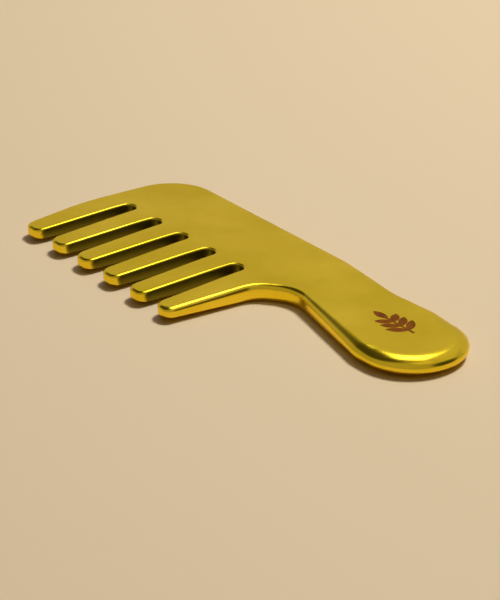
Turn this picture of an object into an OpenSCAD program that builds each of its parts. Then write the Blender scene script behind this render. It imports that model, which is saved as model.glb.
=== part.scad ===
// Beard comb: one cast and polished bar of brass alloy with six broad teeth that thin to their tips,
// a broad back, a concave neck and a round-ended handle. The top of the handle
// carries a shallow engraved sprig filled with brown enamel.
// Units are millimetres. The comb lies flat: X runs along the back from the head
// to the handle's end, Y points away from the teeth, Z is up. The origin is the
// middle of the resting outline, at the height of the table.

/* [Body] */
// Overall length from the head to the handle's end
comb_length = 138; // [132:1:144]
// Overall width from the tooth tips to the back edge
comb_width = 56; // [54:1:58]
// Thickness of the back and the handle
body_thickness = 5; // [4.8:0.1:6]
// Radius of the head's corner
head_round = 14.5; // [8:0.5:18]
// Round-over along the back edge and the neck
body_edge = 1.4; // [0.8:0.1:2]
// Height of the round-over along the handle's end, where the palm rests
handle_edge = 2.3; // [1.2:0.1:2.3]
// How far that round-over reaches in over the handle's face
handle_roll = 4.8; // [2:0.1:6]

/* [Teeth] */
// Distance from one tooth to the next
tooth_pitch = 13; // [12:0.1:13.2]
// Free length of a tooth, from the closed end of a slot to the tip
tooth_length = 31.2; // [26:0.1:32]
// Width of a slot at its closed end
slot_root_width = 4.4; // [3.6:0.1:4.8]
// Width of a tooth just before its rounded tip
tip_width = 7.2; // [6:0.1:7.6]
// Thickness of a tooth at its tip
tip_thickness = 3.1; // [2.8:0.1:4.2]
// Round-over at the closed ends of the slots
tooth_edge = 0.7; // [0.5:0.1:1.2]
// Round-over at the tips, into which that along the teeth widens
tip_edge = 1.1; // [0.7:0.1:1.3]

/* [Handle] */
// Radius of the handle's round end
handle_round = 14.4; // [13:0.1:14.6]
// Height of the handle's end across the comb
handle_width = 29.4; // [29.2:0.1:31]
// Depth of the hollow in the back edge before the handle's end
waist_depth = 2.9; // [1.5:0.1:4]
// Height of the neck above the handle's lower edge
neck_rise = 8.6; // [6:0.1:10]

/* [Mark] */
// Length of the sprig along the handle
mark_length = 16; // [10:0.5:18]
// Depth of the engraving that holds the enamel
mark_depth = 0.25; // [0.15:0.05:0.5]
// How far the enamel lies below the metal
enamel_sink = 0.05; // [0:0.01:0.1]

/* [Hidden] */
tooth_count = 6;
arc_step = 15;
edge_steps = 5;
x_end = comb_length / 2;
x_head = -x_end;
y_back = comb_width / 2;
y_tip = -y_back;
y_root = y_tip + tooth_length;
// middle of the first tooth, and the level where the teeth begin to thin
x_first = x_head + 5.9;
y_thin = y_root - 5.2;
y_handle = y_back - 1.6;
y_under = y_handle - handle_width;
// the tips are rounder on the side of the head
tip_round = tip_width * 0.36;
tip_head_round = tip_width * 0.48;
slot_round = slot_root_width / 2 - 0.1;
slot_lean = 0.6;
thinning = (body_thickness - tip_thickness) / 2 / (y_thin - y_tip - tip_edge);
brass = [0.78, 0.66, 0.2];
enamel = [0.42, 0.2, 0.08];
// middle of the engraved sprig
mark_x = x_end - 23;
mark_y = y_back - 14.6;

function tooth_x(i) = x_first + i * tooth_pitch;
function slot_x(i) = tooth_x(i) + tooth_pitch / 2 - slot_lean;

// Each corner is [x, y, radius, round-over's reach, round-over's height], walking
// clockwise round the comb.
back_corners = [
    [x_head + 0.5, y_back, head_round, body_edge, body_edge],
    [x_end - 59, y_back, 40, body_edge, body_edge],
    [x_end - 35, y_back - waist_depth, 30, body_edge, body_edge],
    [x_end - 23, y_back - 1.3, 20, handle_roll / 2, (body_edge + handle_edge) / 2]
];
handle_corners = [
    [x_end, y_handle, handle_round, handle_roll, handle_edge],
    [x_end, y_under, handle_round, handle_roll, handle_edge],
    [x_end - 19, y_under, 14, handle_roll * 0.75, handle_edge],
    [x_end - 53.6, y_under + neck_rise, 10, body_edge + 0.3, body_edge + 0.2],
    [x_end - 61.9, y_under + neck_rise - 6.5, 8, body_edge + 0.2, body_edge + 0.1]
];
tooth_corners = [for (i = [tooth_count - 1:-1:0]) each concat(
    i == tooth_count - 1
        ? [[tooth_x(i) + tip_width / 2 - 0.6, y_tip, 2.6, 1.8, 1.5]]
        : [[tooth_x(i) + tip_width / 2, y_tip, tip_round, tip_edge, tip_edge]],
    [[tooth_x(i) - tip_width / 2, y_tip, tip_head_round, tip_edge, tip_edge]],
    i == 0 ? [] : [
        [slot_x(i - 1) + slot_root_width / 2, y_root, slot_round, tooth_edge, tooth_edge],
        [slot_x(i - 1) - slot_root_width / 2, y_root, slot_round, tooth_edge, tooth_edge]
    ]
)];
cheek_corner = [[x_head, y_tip + 18.6, 60, tooth_edge + 0.4, tooth_edge + 0.4]];
corners = concat(back_corners, handle_corners, tooth_corners, cheek_corner);

function heading(a, b) = atan2(b[1] - a[1], b[0] - a[0]);
function turn(a, b) = ((b - a + 540) % 360) - 180;

// The stations of one corner's arc: [x, y, outward x, outward y, reach, height].
function corner_arc(a, p, b) =
    let (
        from = heading(a, p),
        bend = turn(from, heading(p, b)),
        side = bend < 0 ? -1 : 1,
        reach = p[2] * tan(abs(bend) / 2),
        cx = p[0] - reach * cos(from) - side * p[2] * sin(from),
        cy = p[1] - reach * sin(from) + side * p[2] * cos(from),
        steps = max(1, ceil(abs(bend) / arc_step))
    )
    [for (k = [0:steps]) let (at = from + bend * k / steps) [
        cx + side * p[2] * sin(at), cy - side * p[2] * cos(at),
        -sin(at), cos(at), p[3], p[4]
    ]];

arcs = let (n = len(corners)) [for (i = [0:n - 1])
    each corner_arc(corners[(i + n - 1) % n], corners[i], corners[(i + 1) % n])];

// Where the flat face's rim crosses y_thin a station is added, so that the level
// part and the thinning part of the face meet along one straight line.
function rim_y(s) = s[1] - s[4] * s[3];
function crossing(a, b) = let (da = rim_y(a) - y_thin, db = rim_y(b) - y_thin)
    da * db < 0 ? [a + (b - a) * da / (da - db)] : [];
stations = let (n = len(arcs)) [for (i = [0:n - 1])
    each concat([arcs[i]], crossing(arcs[i], arcs[(i + 1) % n]))];
count = len(stations);

// Ring k runs from the top face's rim (0) over the edge to the bottom face's rim.
rings = 2 * edge_steps + 1;
function ring_point(s, k) =
    let (
        upper = k <= edge_steps,
        tilt = 90 * (upper ? k : rings - k) / edge_steps,
        inset = s[4] * (1 - sin(tilt)),
        middle = body_thickness / 2,
        thinned = 1 - thinning * max(0, y_thin - rim_y(s)) / middle,
        rise = (middle - s[5] * (1 - cos(tilt))) * thinned
    )
    [s[0] - inset * s[2], s[1] - inset * s[3], middle + (upper ? rise : -rise)];
points = [for (k = [0:rings], s = stations) ring_point(s, k)];

// Stations on the thinning teeth, and the run of them that makes one tooth.
function on_tooth(i) = rim_y(stations[i % count]) < y_thin - 0.001;
function tooth_run(i) = on_tooth(i) ? concat([i % count], tooth_run(i + 1)) : [i % count];
face_rims = concat(
    [[for (i = [0:count - 1]) if (!on_tooth(i)) i]],
    [for (i = [0:count - 1]) if (!on_tooth(i) && on_tooth(i + 1))
        concat([i], tooth_run(i + 1))]
);
top_faces = face_rims;
bottom_faces = [for (f = face_rims) [for (k = [len(f) - 1:-1:0]) f[k] + rings * count]];
edge_faces = [for (k = [0:rings - 1], i = [0:count - 1]) let (j = (i + 1) % count)
    [k * count + j, k * count + i, (k + 1) * count + i, (k + 1) * count + j]];

// The rounded blank, brought to its exact overall size.
module comb_blank() {
    resize([comb_length, comb_width, body_thickness])
        polyhedron(points, concat(top_faces, edge_faces, bottom_faces), convexity = 10);
}

// A leaf is the overlap of two equal circles.
module leaf(length, width) {
    r = (length * length / 4 + width * width / 4) / width;
    translate([length / 2, 0])
        intersection() {
            translate([0, r - width / 2])
                circle(r, $fn = 48);
            translate([0, width / 2 - r])
                circle(r, $fn = 48);
        }
}

// A stem with three pairs of leaves and one at the top, pointing along -X.
module sprig() {
    leaf_length = mark_length * 0.36;
    leaf_width = mark_length * 0.15;
    stem = mark_length * 0.05;
    rotate(180)
        translate([-mark_length / 2, 0]) {
            translate([0, -stem / 2])
                square([mark_length * 0.72, stem]);
            translate([mark_length * 0.64, 0])
                leaf(leaf_length, leaf_width);
            for (k = [0:2], side = [-1, 1])
                translate([mark_length * (0.12 + 0.19 * k), 0])
                    rotate(side * 48)
                        leaf(leaf_length * (1.05 - 0.1 * k), leaf_width);
        }
}

module mark_solid(height) {
    translate([mark_x, mark_y, body_thickness - mark_depth])
        linear_extrude(height)
            sprig();
}

module comb_body() {
    color(brass)
        difference() {
            comb_blank();
            mark_solid(mark_depth + 1);
        }
}

module mark_enamel() {
    color(enamel)
        mark_solid(mark_depth - enamel_sink);
}

comb_body();
mark_enamel();
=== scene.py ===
# %% [markdown]
# # A beard comb in cast and polished brass
# The comb is one solid bar of yellow metal, 138 mm long, 56 mm wide and 5 mm thick:
# six broad teeth that thin to their tips, a broad back, a concave neck for a
# finger and a round-ended handle. On the handle lies a small engraved sprig filled
# with brown enamel.
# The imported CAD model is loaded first. It fixes every size, and the pieces made
# here only give it a finer surface and a finish.

# %% Load the frame and read its sizes
import bpy, bmesh
from math import sin, cos, tan, pi, radians
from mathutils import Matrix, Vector


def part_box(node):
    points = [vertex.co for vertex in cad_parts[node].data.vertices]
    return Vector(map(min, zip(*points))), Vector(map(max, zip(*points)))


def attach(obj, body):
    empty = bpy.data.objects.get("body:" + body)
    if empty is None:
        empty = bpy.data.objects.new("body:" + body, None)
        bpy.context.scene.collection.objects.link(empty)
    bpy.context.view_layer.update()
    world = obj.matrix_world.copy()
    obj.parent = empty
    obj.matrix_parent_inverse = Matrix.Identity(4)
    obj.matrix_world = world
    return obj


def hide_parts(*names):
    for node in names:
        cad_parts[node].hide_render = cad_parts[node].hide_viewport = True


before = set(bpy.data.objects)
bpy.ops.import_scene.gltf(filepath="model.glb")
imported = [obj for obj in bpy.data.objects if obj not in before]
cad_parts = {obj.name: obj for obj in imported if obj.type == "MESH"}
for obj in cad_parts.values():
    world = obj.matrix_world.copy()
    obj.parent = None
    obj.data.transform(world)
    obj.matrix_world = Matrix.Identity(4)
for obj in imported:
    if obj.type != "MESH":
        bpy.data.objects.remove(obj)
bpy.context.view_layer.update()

mm = 0.001
low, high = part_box("comb_body")
thickness = high[2] - low[2]
print("comb", [round((high[i] - low[i]) / mm, 2) for i in range(3)], "mm")

# %% [markdown]
# ## The outline as a list of corners
# A foundry pattern for such a comb is drawn with straight lines and round corners,
# and then every edge is rubbed round by hand. The outline is kept in the same way:
# each corner has its place, the radius it has in plan, and two lengths for the
# round-over along the edge there: how far it reaches in over the level face, and
# how far it comes down. Both are small between the teeth. At the handle's end,
# where the palm rests, the face rolls off over nearly 5 mm. The teeth come from
# one rule, repeated at the tooth pitch, so the list stays short. It runs
# anticlockwise, which makes the side to the right of the path the outside.

# %% Sizes of the teeth and of the handle's end
tooth_pitch = 13.0 * mm
tooth_length = 31.2 * mm
tip_width = 7.2 * mm
slot_width = 4.4 * mm
slot_lean = 0.6 * mm
first_tooth = low[0] + 5.9 * mm
slot_end = low[1] + tooth_length
thinning_starts = slot_end - 5.2 * mm
handle_top = high[1] - 1.6 * mm
handle_under = handle_top - 29.4 * mm

# %% Corners of the back and the handle: x, y, plan radius, reach, height
corners = [
    (low[0] + 0.5 * mm, high[1], 14.5 * mm, 1.4 * mm, 1.4 * mm),
    (high[0] - 59 * mm, high[1], 40 * mm, 1.4 * mm, 1.4 * mm),
    (high[0] - 35 * mm, high[1] - 2.9 * mm, 30 * mm, 1.4 * mm, 1.4 * mm),
    (high[0] - 23 * mm, high[1] - 1.3 * mm, 20 * mm, 2.4 * mm, 1.85 * mm),
    (high[0], handle_top, 14.4 * mm, 4.8 * mm, 2.3 * mm),
    (high[0], handle_under, 14.4 * mm, 4.8 * mm, 2.3 * mm),
    (high[0] - 19 * mm, handle_under, 14 * mm, 3.6 * mm, 2.3 * mm),
    (high[0] - 53.6 * mm, handle_under + 8.6 * mm, 10 * mm, 1.7 * mm, 1.6 * mm),
    (high[0] - 61.9 * mm, handle_under + 2.1 * mm, 8 * mm, 1.6 * mm, 1.5 * mm),
]

# %% Corners of the teeth and the slots, from the last tooth to the first
slot_edge = 0.7 * mm
tip_edge = 1.1 * mm
cheek_edge = 1.1 * mm
last_tooth = 5
for tooth in reversed(range(last_tooth + 1)):
    middle = first_tooth + tooth * tooth_pitch
    if tooth == last_tooth:
        corners.append((middle + tip_width / 2 - 0.6 * mm, low[1], 2.6 * mm, 1.8 * mm, 1.5 * mm))
    else:
        corners.append((middle + tip_width / 2, low[1], tip_width * 0.36, tip_edge, tip_edge))
    corners.append((middle - tip_width / 2, low[1], tip_width * 0.48, tip_edge, tip_edge))
    if tooth > 0:
        slot_middle = middle - tooth_pitch / 2 - slot_lean
        for side in (1, -1):
            corners.append((slot_middle + side * slot_width / 2, slot_end,
                            slot_width / 2 - 0.1 * mm, slot_edge, slot_edge))
corners.append((low[0], low[1] + 18.6 * mm, 60 * mm, cheek_edge, cheek_edge))
corners.reverse()
print(len(corners), "corners")

# %% The corners as a loop of edges that carries the three lengths
outline = bpy.data.meshes.new("comb_outline")
outline.from_pydata([(corner[0], corner[1], 0.0) for corner in corners],
                    [(i, (i + 1) % len(corners)) for i in range(len(corners))], [])
for name, column in (("plan_radius", 2), ("round_reach", 3), ("round_height", 4)):
    values = outline.attributes.new(name, "FLOAT", "POINT")
    values.data.foreach_set("value", [c[column] for c in corners])

# %% [markdown]
# ## The body, swept from its outline with Geometry Nodes
# The body could be modelled face by face, or cut from a plate and bevelled. A
# Bevel modifier has one width for a whole edge, though, and this comb's
# round-over grows from 0.7 to 4.8 mm along its way. So the edge is swept: a
# quarter circle of radius 1 follows the outline. At every point its scale is the
# reach stored there, and its height is then corrected to the stored height. One
# sweep makes the upper edge, its mirror image the lower edge, a straight line the
# wall between them, and the two level faces are filled in. Last, a rule draws the
# points of the teeth towards the middle of the thickness, so that they thin
# evenly to their tips.

# %% A helper that adds one node with its settings and links
def node(tree, kind, inputs=(), **settings):
    """inputs: {name or index: a value, a socket, or a node for its first output}."""
    made = tree.nodes.new(kind)
    for key, value in settings.items():
        setattr(made, key, value)
    for key, value in dict(inputs).items():
        if isinstance(value, bpy.types.Node):
            value = value.outputs[0]
        if isinstance(value, bpy.types.NodeSocket):
            tree.links.new(value, made.inputs[key])
        else:
            made.inputs[key].default_value = value
    return made

MATH = "ShaderNodeMath"
NOISE = "ShaderNodeTexNoise"
SWEEP = "GeometryNodeCurveToMesh"
STORED = "GeometryNodeInputNamedAttribute"

# %% The tree's inputs
sweep = bpy.data.node_groups.new("comb from its outline", "GeometryNodeTree")
def tree_input(name, kind, value=None):
    made = sweep.interface.new_socket(name, in_out="INPUT", socket_type=kind)
    if value is not None:
        made.default_value = value
    return made

tree_input("Outline", "NodeSocketGeometry")
tree_input("Thickness", "NodeSocketFloat", 0.005)
tree_input("Thinning starts at Y", "NodeSocketFloat", 0.0)
tree_input("Thinning slope", "NodeSocketFloat", 0.0)
tree_input("Blend length", "NodeSocketFloat", 0.004)
tree_input("Point spacing", "NodeSocketFloat", 0.0006)
tree_input("Metal", "NodeSocketMaterial")
sweep.interface.new_socket("Comb", in_out="OUTPUT", socket_type="NodeSocketGeometry")
given = node(sweep, "NodeGroupInput").outputs

# %% Round the corners, then space the points evenly
plan_radius = node(sweep, STORED, {"Name": "plan_radius"})
round_reach = node(sweep, STORED, {"Name": "round_reach"})
round_height = node(sweep, STORED, {"Name": "round_height"})
path = node(sweep, "GeometryNodeMeshToCurve", {"Mesh": given["Outline"]})
path = node(sweep, "GeometryNodeFilletCurve",
            {"Curve": path, "Radius": plan_radius, "Count": 24}, mode="POLY")
path = node(sweep, "GeometryNodeResampleCurve",
            {"Curve": path, "Length": given["Point spacing"]}, mode="LENGTH")
path = node(sweep, "GeometryNodeSetCurveNormal", {"Curve": path}, mode="Z_UP")

# %% The round-over: a quarter circle and a short flat rim beside it
# A swept profile's X points to the outside of the path and its Y points down.
quarter = node(sweep, "GeometryNodeCurveArc", {
    "Resolution": 10, "Radius": 1.0, "Start Angle": radians(-90), "Sweep Angle": radians(90)})
quarter = node(sweep, "GeometryNodeTransform", {"Geometry": quarter, "Translation": (-1, 1, 0)})
rim_width = 0.15
rim = node(sweep, "GeometryNodeCurvePrimitiveLine",
           {"Start": (-1 - rim_width, 0, 0), "End": (-1, 0, 0)})
edge_profile = node(sweep, "GeometryNodeJoinGeometry")
for part in (quarter, rim):
    sweep.links.new(part.outputs[0], edge_profile.inputs[0])
mirrored_profile = node(sweep, "GeometryNodeTransform",
                        {"Geometry": edge_profile, "Scale": (1, -1, 1)})

# %% Two steps used more than once: lift a shape, and correct a round-over's height
def raised(shape, lift):
    up = node(sweep, "ShaderNodeCombineXYZ", {"Z": lift})
    return node(sweep, "GeometryNodeSetPosition", {"Geometry": shape, "Offset": up})

def flattened(shape):
    """A swept edge is as tall as its reach; this brings it to the stored height."""
    place = node(sweep, "GeometryNodeInputPosition")
    tall = node(sweep, "ShaderNodeSeparateXYZ", {0: place}).outputs["Z"]
    ratio = node(sweep, MATH, {0: round_height, 1: round_reach}, operation="DIVIDE")
    growth = node(sweep, MATH, {0: ratio, 1: 1.0}, operation="SUBTRACT")
    return raised(shape, node(sweep, MATH, {0: tall, 1: growth}, operation="MULTIPLY"))

# %% Sweep the upper edge, the lower edge and the wall
upper = node(sweep, SWEEP, {"Curve": path, "Profile Curve": edge_profile, "Scale": round_reach})
upper = raised(flattened(upper), given["Thickness"])
lower = node(sweep, SWEEP, {"Curve": path, "Profile Curve": mirrored_profile, "Scale": round_reach})
lower = flattened(lower)
half = node(sweep, MATH, {0: given["Thickness"], 1: 0.5}, operation="MULTIPLY")
wall_line = node(sweep, "GeometryNodeCurvePrimitiveLine", {"Start": (0, -1, 0), "End": (0, 1, 0)})
wall_reach = node(sweep, MATH, {0: half, 1: round_height}, operation="SUBTRACT")
wall = node(sweep, SWEEP, {"Curve": raised(path, half), "Profile Curve": wall_line,
                           "Scale": wall_reach})

# %% Fill the two level faces inside the rim
outward = node(sweep, "GeometryNodeInputNormal")
inward = node(sweep, MATH, {0: round_reach, 1: -1 - rim_width}, operation="MULTIPLY")
inset = node(sweep, "ShaderNodeVectorMath", {0: outward, "Scale": inward}, operation="SCALE")
rim_path = node(sweep, "GeometryNodeSetPosition", {"Geometry": path, "Offset": inset})
face = node(sweep, "GeometryNodeFillCurve", {"Curve": rim_path}, mode="TRIANGLES")
face = node(sweep, "GeometryNodeStoreNamedAttribute", data_type="BOOLEAN", domain="FACE",
            inputs={"Geometry": face, "Name": "level_face", "Value": True})
top_face = raised(face, given["Thickness"])
under_face = node(sweep, "GeometryNodeFlipFaces", {"Mesh": face})

# %% Join the five parts and weld their shared rows of points
parts = node(sweep, "GeometryNodeJoinGeometry")
for part in (upper, lower, wall, top_face, under_face):
    sweep.links.new(part.outputs[0], parts.inputs[0])
weld_distance = 0.004 * mm
blank = node(sweep, "GeometryNodeMergeByDistance", {"Geometry": parts, "Distance": weld_distance})

# %% Mark the walls of the slots, where painted shade darkens the metal
# Each row rises softly from 0 at its start to 1 where it is full, and the mark is
# their product: below the faces, between the outer teeth, and short of the tips.
at = node(sweep, "ShaderNodeSeparateXYZ", {0: node(sweep, "GeometryNodeInputPosition")}).outputs
from_middle = node(sweep, MATH, {0: at["Z"], 1: half}, operation="SUBTRACT")
off_middle = node(sweep, MATH, {0: from_middle}, operation="ABSOLUTE")
below_face = node(sweep, MATH, {0: half, 1: off_middle}, operation="SUBTRACT")
last_middle = first_tooth + last_tooth * tooth_pitch
slot_shade = 1.0
for value, start, full in ((below_face, 0.10 * mm, 0.40 * mm),
                           (at["X"], first_tooth - 0.5 * mm, first_tooth + 0.5 * mm),
                           (at["X"], last_middle + 0.5 * mm, last_middle - 0.5 * mm),
                           (at["Y"], slot_end + 1.0 * mm, slot_end + 0.5 * mm),
                           (at["Y"], low[1] + 1.2 * mm, low[1] + 2.4 * mm)):
    rise = node(sweep, "ShaderNodeMapRange", interpolation_type="SMOOTHSTEP",
                inputs={"Value": value, "From Min": start, "From Max": full})
    slot_shade = node(sweep, MATH, {0: slot_shade, 1: rise}, operation="MULTIPLY")
# The stored mark is where the brass paints shade on the slot walls.
blank = node(sweep, "GeometryNodeStoreNamedAttribute", data_type="FLOAT", domain="POINT",
             inputs={"Geometry": blank, "Name": "slot_shade", "Value": slot_shade})

# %% How much a tooth thins: nothing, a soft start over the blend length, a straight slope
blend = given["Blend length"]
beyond = node(sweep, MATH, {0: given["Thinning starts at Y"], 1: at["Y"]}, operation="SUBTRACT")
soft = node(sweep, MATH, {0: beyond, 1: blend}, operation="ADD")
soft = node(sweep, MATH, {0: soft, 1: 0.0}, operation="MAXIMUM")
twice = node(sweep, MATH, {0: blend, 1: 2.0}, operation="MULTIPLY")
soft = node(sweep, MATH, {0: soft, 1: twice}, operation="MINIMUM")
squared = node(sweep, MATH, {0: soft, 1: soft}, operation="MULTIPLY")
four_times = node(sweep, MATH, {0: blend, 1: 4.0}, operation="MULTIPLY")
curved = node(sweep, MATH, {0: squared, 1: four_times}, operation="DIVIDE")
straight = node(sweep, MATH, {0: beyond, 1: blend}, operation="SUBTRACT")
straight = node(sweep, MATH, {0: straight, 1: 0.0}, operation="MAXIMUM")
fall = node(sweep, MATH, {0: curved, 1: straight}, operation="ADD")
loss = node(sweep, MATH, {0: fall, 1: given["Thinning slope"]}, operation="MULTIPLY")

# %% Draw both faces of a tooth towards the middle, and finish the tree
share = node(sweep, MATH, {0: loss, 1: half}, operation="DIVIDE")
shift = node(sweep, MATH, {0: from_middle, 1: share}, operation="MULTIPLY")
shift = node(sweep, MATH, {0: shift, 1: -1.0}, operation="MULTIPLY")
comb = raised(blank, shift)
comb = node(sweep, "GeometryNodeRealizeInstances", {"Geometry": comb})
comb = node(sweep, "GeometryNodeSetMaterial", {"Geometry": comb, "Material": given["Metal"]})
node(sweep, "NodeGroupOutput", {"Comb": comb})
print(len(sweep.nodes), "nodes in the comb's tree")

# %% [markdown]
# ## Colours and a helper for materials
# Colours are written as sRGB hex values, as a paint chart gives them, and one
# function turns them to the linear values that the shader works with.

# %% Hex to linear
def linear(code):
    def channel(text):
        v = int(text, 16) / 255
        return v / 12.92 if v <= 0.04045 else ((v + 0.055) / 1.055) ** 2.4
    return tuple(channel(code[i:i + 2]) for i in (1, 3, 5)) + (1.0,)

def new_material(name):
    made = bpy.data.materials.new(name)
    made.use_nodes = True
    made.node_tree.nodes.clear()
    shader = node(made.node_tree, "ShaderNodeBsdfPrincipled")
    node(made.node_tree, "ShaderNodeOutputMaterial", {0: shader})
    return made, made.node_tree, shader

# %% [markdown]
# ## Polished cast brass
# The metal is a yellow casting alloy, filed, sanded and buffed. Buffing leaves a
# bright, slightly wavy surface with very fine hairlines along the length, a few
# pinholes from the casting, and cloudy patches where the mop passed less often.
# The colour is strong because a metal tints its reflections, so the shader is
# fully metallic, keeps the default IOR, and only its colour, roughness and bump
# change from place to place. Real buffing hairlines are a few hundredths of a
# millimetre apart, too fine to show, so they are drawn 0.35 mm apart.

# %% Brass material
brass, tree, shader = new_material("polished_cast_brass")
shader.inputs["Metallic"].default_value = 1.0
shader.inputs["Specular Tint"].default_value = linear("#FFF6D8")
place = node(tree, "ShaderNodeTexCoord").outputs["Object"]
per_mm = 1000.0

clouds = node(tree, NOISE, {"Vector": place, "Scale": per_mm / 22, "Detail": 3.0,
                            "Roughness": 0.55}).outputs[0]
cloud_colour = node(tree, "ShaderNodeValToRGB", {"Fac": clouds})
for stop, (position, code) in enumerate(((0.32, "#EFD026"), (0.68, "#FFDF3D"))):
    cloud_colour.color_ramp.elements[stop].position = position
    cloud_colour.color_ramp.elements[stop].color = linear(code)

# %% Slot walls: painted shade, a dark olive-brown for the shade and dark reflections in the slots
slot_shade_and_dullness = node(tree, "ShaderNodeAttribute", attribute_name="slot_shade").outputs["Fac"]
colour = node(tree, "ShaderNodeMix", data_type="RGBA",
              inputs={0: slot_shade_and_dullness, 6: cloud_colour, 7: linear("#7A6F1E")})
tree.links.new(colour.outputs[2], shader.inputs["Base Color"])

# %% Hairlines: fine noise stretched along the comb
stretched = node(tree, "ShaderNodeMapping", {"Vector": place, "Scale": (0.06, 1.0, 1.0)})
hairlines = node(tree, NOISE, {"Vector": stretched, "Scale": per_mm / 0.35, "Detail": 4.0,
                               "Roughness": 0.6}).outputs[0]
waves = node(tree, NOISE, {"Vector": place, "Scale": per_mm / 14, "Detail": 1.0}).outputs[0]

# %% Pinholes: small round dots in a few cells of a Voronoi pattern
cells = node(tree, "ShaderNodeTexVoronoi", {"Vector": place, "Scale": per_mm / 5.5}).outputs
dot = node(tree, "ShaderNodeMapRange", {"Value": cells["Distance"], "From Min": 0.02,
                                        "From Max": 0.06, "To Min": 1.0, "To Max": 0.0})
chosen = node(tree, "ShaderNodeSeparateColor", {"Color": cells["Color"]})
rare = 0.86
some = node(tree, MATH, {0: chosen, 1: rare}, operation="GREATER_THAN")
pinholes = node(tree, MATH, {0: dot, 1: some}, operation="MULTIPLY")

# %% Roughness and bump of the brass
rough = node(tree, "ShaderNodeMapRange", {"Value": clouds, "From Min": 0.3, "From Max": 0.7,
                                          "To Min": 0.13, "To Max": 0.19})
rough = node(tree, MATH, {0: hairlines, 1: 0.05, 2: rough}, operation="MULTIPLY_ADD")
# The same mark also makes the slot walls rougher; the darker colour above is painted shade.
rough = node(tree, MATH, {0: slot_shade_and_dullness, 1: 0.22, 2: rough}, operation="MULTIPLY_ADD")
tree.links.new(rough.outputs[0], shader.inputs["Roughness"])
wavy = node(tree, "ShaderNodeBump", {"Height": waves, "Strength": 0.35, "Distance": 0.35 * mm})
lined = node(tree, "ShaderNodeBump", {"Height": hairlines, "Normal": wavy,
                                      "Strength": 0.12, "Distance": 0.02 * mm})
pitted = node(tree, "ShaderNodeBump", invert=True,
              inputs={"Height": pinholes, "Normal": lined, "Strength": 0.6, "Distance": 0.1 * mm})
tree.links.new(pitted.outputs[0], shader.inputs["Normal"])

# %% [markdown]
# ## Make the body
# The modifier is given its sizes by each socket's identifier, the result is
# copied to a plain mesh, and the modifier goes. The faces are turned to point
# outwards before the engraving is cut.

# %% Run the tree and keep its mesh
maker = bpy.data.objects.new("comb_maker", outline)
bpy.context.scene.collection.objects.link(maker)
modifier = maker.modifiers.new("sweep", "NODES")
modifier.node_group = sweep
tip_thickness = 3.1 * mm
sizes = {
    "Thickness": thickness,
    "Thinning starts at Y": thinning_starts,
    "Thinning slope": (thickness - tip_thickness) / 2 / (thinning_starts - low[1] - tip_edge),
    "Blend length": 4 * mm,
    "Point spacing": 0.6 * mm,
    "Metal": brass,
}
for item in sweep.interface.items_tree:
    if item.in_out == "INPUT" and item.name in sizes:
        modifier[item.identifier] = sizes[item.name]
bpy.context.view_layer.update()
evaluated = maker.evaluated_get(bpy.context.evaluated_depsgraph_get())
body_mesh = bpy.data.meshes.new_from_object(evaluated)
body_mesh.name = "comb_metal"
bpy.data.objects.remove(maker)

checked = bmesh.new()
checked.from_mesh(body_mesh)
bmesh.ops.recalc_face_normals(checked, faces=checked.faces)
for axis in (0, 1):
    made = [v.co[axis] for v in checked.verts]
    first, span = min(made), max(made) - min(made)
    for v in checked.verts:
        v.co[axis] = low[axis] + (v.co[axis] - first) * (high[axis] - low[axis]) / span
open_edges = sum(1 for e in checked.edges if not e.is_manifold)
print("body", len(checked.faces), "faces,", open_edges, "open edges,",
      round(checked.calc_volume() / mm ** 3), "mm3")
checked.to_mesh(body_mesh)
checked.free()
body = bpy.data.objects.new("comb_metal", body_mesh)
bpy.context.scene.collection.objects.link(body)

# %% [markdown]
# ## The engraving
# The sprig is cut 0.25 mm deep. The cutter is a copy of the enamel's own CAD
# solid, carried up past the metal, so the enamel fits its bed exactly. A Boolean
# modifier takes it out of the body.

# %% Cut the bed of the enamel
enamel_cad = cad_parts["mark_enamel"]
cutter_mesh = enamel_cad.data.copy()
weld = bmesh.new()
weld.from_mesh(cutter_mesh)
bmesh.ops.remove_doubles(weld, verts=weld.verts, dist=0.000002)
enamel_top = max(v.co.z for v in weld.verts)
for v in weld.verts:
    if v.co.z > enamel_top - 0.00005:
        v.co.z = high[2] + 1 * mm
bmesh.ops.recalc_face_normals(weld, faces=weld.faces)
weld.to_mesh(cutter_mesh)
weld.free()
cutter = bpy.data.objects.new("bed_cutter", cutter_mesh)
bpy.context.scene.collection.objects.link(cutter)
cut = body.modifiers.new("engrave", "BOOLEAN")
cut.operation, cut.solver, cut.object = "DIFFERENCE", "EXACT", cutter
bpy.context.view_layer.update()
evaluated = body.evaluated_get(bpy.context.evaluated_depsgraph_get())
engraved = bpy.data.meshes.new_from_object(evaluated)
body.modifiers.clear()
body.data = engraved
bpy.data.objects.remove(cutter)

# %% Smooth shading, with the engraving's rim left sharp
engraved.name = "comb_metal"
engraved.materials.clear()
engraved.materials.append(brass)
engraved.shade_smooth()
engraved.set_sharp_from_angle(angle=radians(35))
level = engraved.attributes["level_face"].data
for face_number, polygon in enumerate(engraved.polygons):
    if level[face_number].value and polygon.normal.z > 0.99999:
        polygon.use_smooth = False
print("after engraving", len(engraved.polygons), "faces")
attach(body, "root")
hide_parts("comb_body")

# %% [markdown]
# ## Brown enamel
# The mark is filled with a brown enamel that is fired and then rubbed level with
# the metal. Rubbing takes its gloss away, so it is nearly matt, with a faint
# unevenness in colour where the glass is thicker and a fine grain on its skin.

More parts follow.
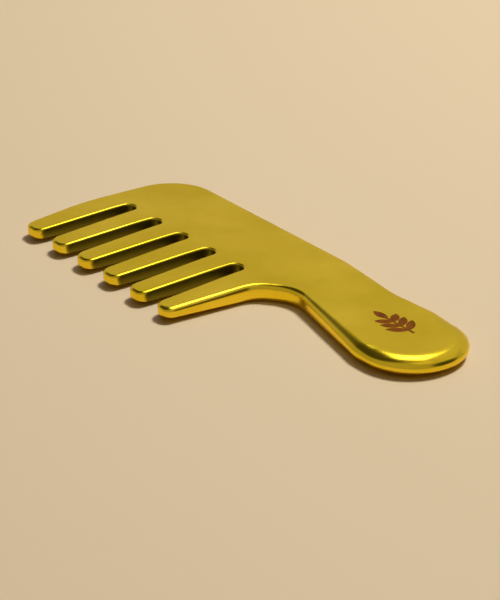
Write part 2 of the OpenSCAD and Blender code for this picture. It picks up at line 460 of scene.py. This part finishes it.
# %% Enamel material on the CAD solid
enamel, tree, shader = new_material("fired_brown_enamel")
place = node(tree, "ShaderNodeTexCoord").outputs["Object"]
thicker = node(tree, NOISE, {"Vector": place, "Scale": per_mm / 3.0, "Detail": 4.0,
                             "Roughness": 0.6}).outputs[0]
tone = node(tree, "ShaderNodeValToRGB", {"Fac": thicker})
for stop, (position, code) in enumerate(((0.35, "#6E3A04"), (0.7, "#8A4E0C"))):
    tone.color_ramp.elements[stop].position = position
    tone.color_ramp.elements[stop].color = linear(code)
tree.links.new(tone.outputs[0], shader.inputs["Base Color"])
grain = node(tree, NOISE, {"Vector": place, "Scale": per_mm / 0.4, "Detail": 2.0}).outputs[0]
satin = node(tree, "ShaderNodeMapRange", {"Value": grain, "To Min": 0.28, "To Max": 0.45})
tree.links.new(satin.outputs[0], shader.inputs["Roughness"])
orange_peel = node(tree, "ShaderNodeBump",
                   {"Height": grain, "Strength": 0.2, "Distance": 0.03 * mm})
tree.links.new(orange_peel.outputs[0], shader.inputs["Normal"])
shader.inputs["Specular IOR Level"].default_value = 0.03
enamel_cad.data.materials.clear()
enamel_cad.data.materials.append(enamel)

# %% [markdown]
# ## Floor, light and camera
# The stage is a plain pale floor. Polished metal shows its surroundings more than
# itself, so what it mirrors and what lights the floor are kept apart. The metal
# mirrors an even room, a low wide panel that gives the level face its tone, and
# a small bright box inside a dimmer one, so that highlights have soft ends. The
# floor has a lamp and a weak fill of its own, which keep the shadows firm. The
# camera looks down on the comb at 25 degrees from beyond the handle.

# %% Floor
pale_table, tree, shader = new_material("pale_table")
shader.inputs["Base Color"].default_value = linear("#E6D2B2")
shader.inputs["Roughness"].default_value = 0.6
floor_half = 3.0
floor_corners = [(x * floor_half, y * floor_half, 0)
                 for x, y in ((-1, -1), (1, -1), (1, 1), (-1, 1))]
floor_mesh = bpy.data.meshes.new("floor")
floor_mesh.from_pydata(floor_corners, [], [(0, 1, 2, 3)])
floor_mesh.materials.append(pale_table)
floor = bpy.data.objects.new("floor", floor_mesh)
bpy.context.scene.collection.objects.link(floor)

# %% Camera
aim = Vector((13.9, -8.1, 5.0)) * mm
away = 530.4 * mm
elevation = radians(25.2)
heading = radians(-36.5)
toward_camera = Vector((cos(heading) * cos(elevation), sin(heading) * cos(elevation),
                        sin(elevation)))
camera_data = bpy.data.cameras.new("camera")
camera_data.sensor_width = 36.0
camera_data.lens = 122.8
camera_data.clip_start, camera_data.clip_end = 0.01, 20.0
camera = bpy.data.objects.new("camera", camera_data)
camera.location = aim + toward_camera * away
camera.rotation_euler = (-toward_camera).to_track_quat("-Z", "Y").to_euler()
bpy.context.scene.collection.objects.link(camera)
bpy.context.scene.camera = camera

# %% Directions around the comb, as the camera sees them
# A bearing of 0 is straight ahead of the camera, and positive to its right.
def direction(bearing, height_angle):
    turn = heading + pi - radians(bearing)
    flat = cos(radians(height_angle))
    return Vector((cos(turn) * flat, sin(turn) * flat, sin(radians(height_angle))))

# %% Soft boxes: rectangles that face the comb from a bearing and a height angle
def soft_box(name, bearing, height_angle, wide, tall, radiance, colour, distance=1.6):
    """wide and tall are the angles in degrees that the box fills, as seen from
    the comb. The energy follows from the brightness that it is to show there."""
    data = bpy.data.lights.new(name, "AREA")
    data.shape = "RECTANGLE"
    data.size = 2 * distance * tan(radians(wide / 2))
    data.size_y = 2 * distance * tan(radians(tall / 2))
    data.energy = radiance * pi * data.size * data.size_y
    data.color = linear(colour)[:3]
    lamp = bpy.data.objects.new(name, data)
    lamp.location = direction(bearing, height_angle) * distance
    lamp.rotation_euler = (-lamp.location).to_track_quat("-Z", "Y").to_euler()
    lamp.visible_camera = False
    bpy.context.scene.collection.objects.link(lamp)
    return lamp

for name, bearing, height_angle, wide, tall, radiance in (
        ("key_core", 10, 55, 10, 16, 5.0), ("key_halo", 10, 55, 20, 26, 1.8),
        ("back_panel", 5, 20, 110, 40, 0.11)):
    soft_box(name, bearing, height_angle, wide, tall, radiance, "#FFFDF6").visible_diffuse = False
soft_box("right_panel", 58, 50, 42, 24, 0.15, "#FFF6E8")
soft_box("top_panel", 60, 77, 38, 22, 0.25, "#FFF6E8")

# %% A lamp and a weak fill for the table only: the metal doesn't mirror them
table_light = soft_box("table_light", 52, 62, 12, 12, 60.0, "#FFFBF2")
table_light.visible_glossy = False
shadow_fill = soft_box("shadow_fill", 0, 85, 80, 80, 0.22, "#FFE9C8")
shadow_fill.visible_glossy = False

# %% The room: even pale light, with black flags that leave dark lines in the metal
# Only the metal mirrors the room; as a light on the floor it would wash out shadows.
world = bpy.data.worlds.new("studio")
bpy.context.scene.world = world
world.cycles_visibility.diffuse = False
world.use_nodes = True
room = world.node_tree
facing = node(room, "ShaderNodeTexCoord").outputs["Generated"]
brightness = 0.40
flags = ((-36, 58, 34, 0.12), (108, 26, 30, 0.15), (8, 77, 11, 0.55))
for bearing, height_angle, spread, dark in flags:
    aligned = node(room, "ShaderNodeVectorMath", operation="DOT_PRODUCT",
                   inputs={0: facing, 1: direction(bearing, height_angle)}).outputs["Value"]
    shade = node(room, "ShaderNodeMapRange", interpolation_type="SMOOTHSTEP", inputs={
        "Value": aligned, "From Min": cos(radians(spread)), "From Max": cos(radians(spread * 0.6)),
        "To Min": 1.0, "To Max": dark})
    brightness = node(room, MATH, {0: brightness, 1: shade}, operation="MULTIPLY")
background = room.nodes["Background"]
background.inputs["Color"].default_value = linear("#FFF3E2")
room.links.new(brightness.outputs[0], background.inputs["Strength"])
bpy.context.scene.view_settings.view_transform = "Standard"
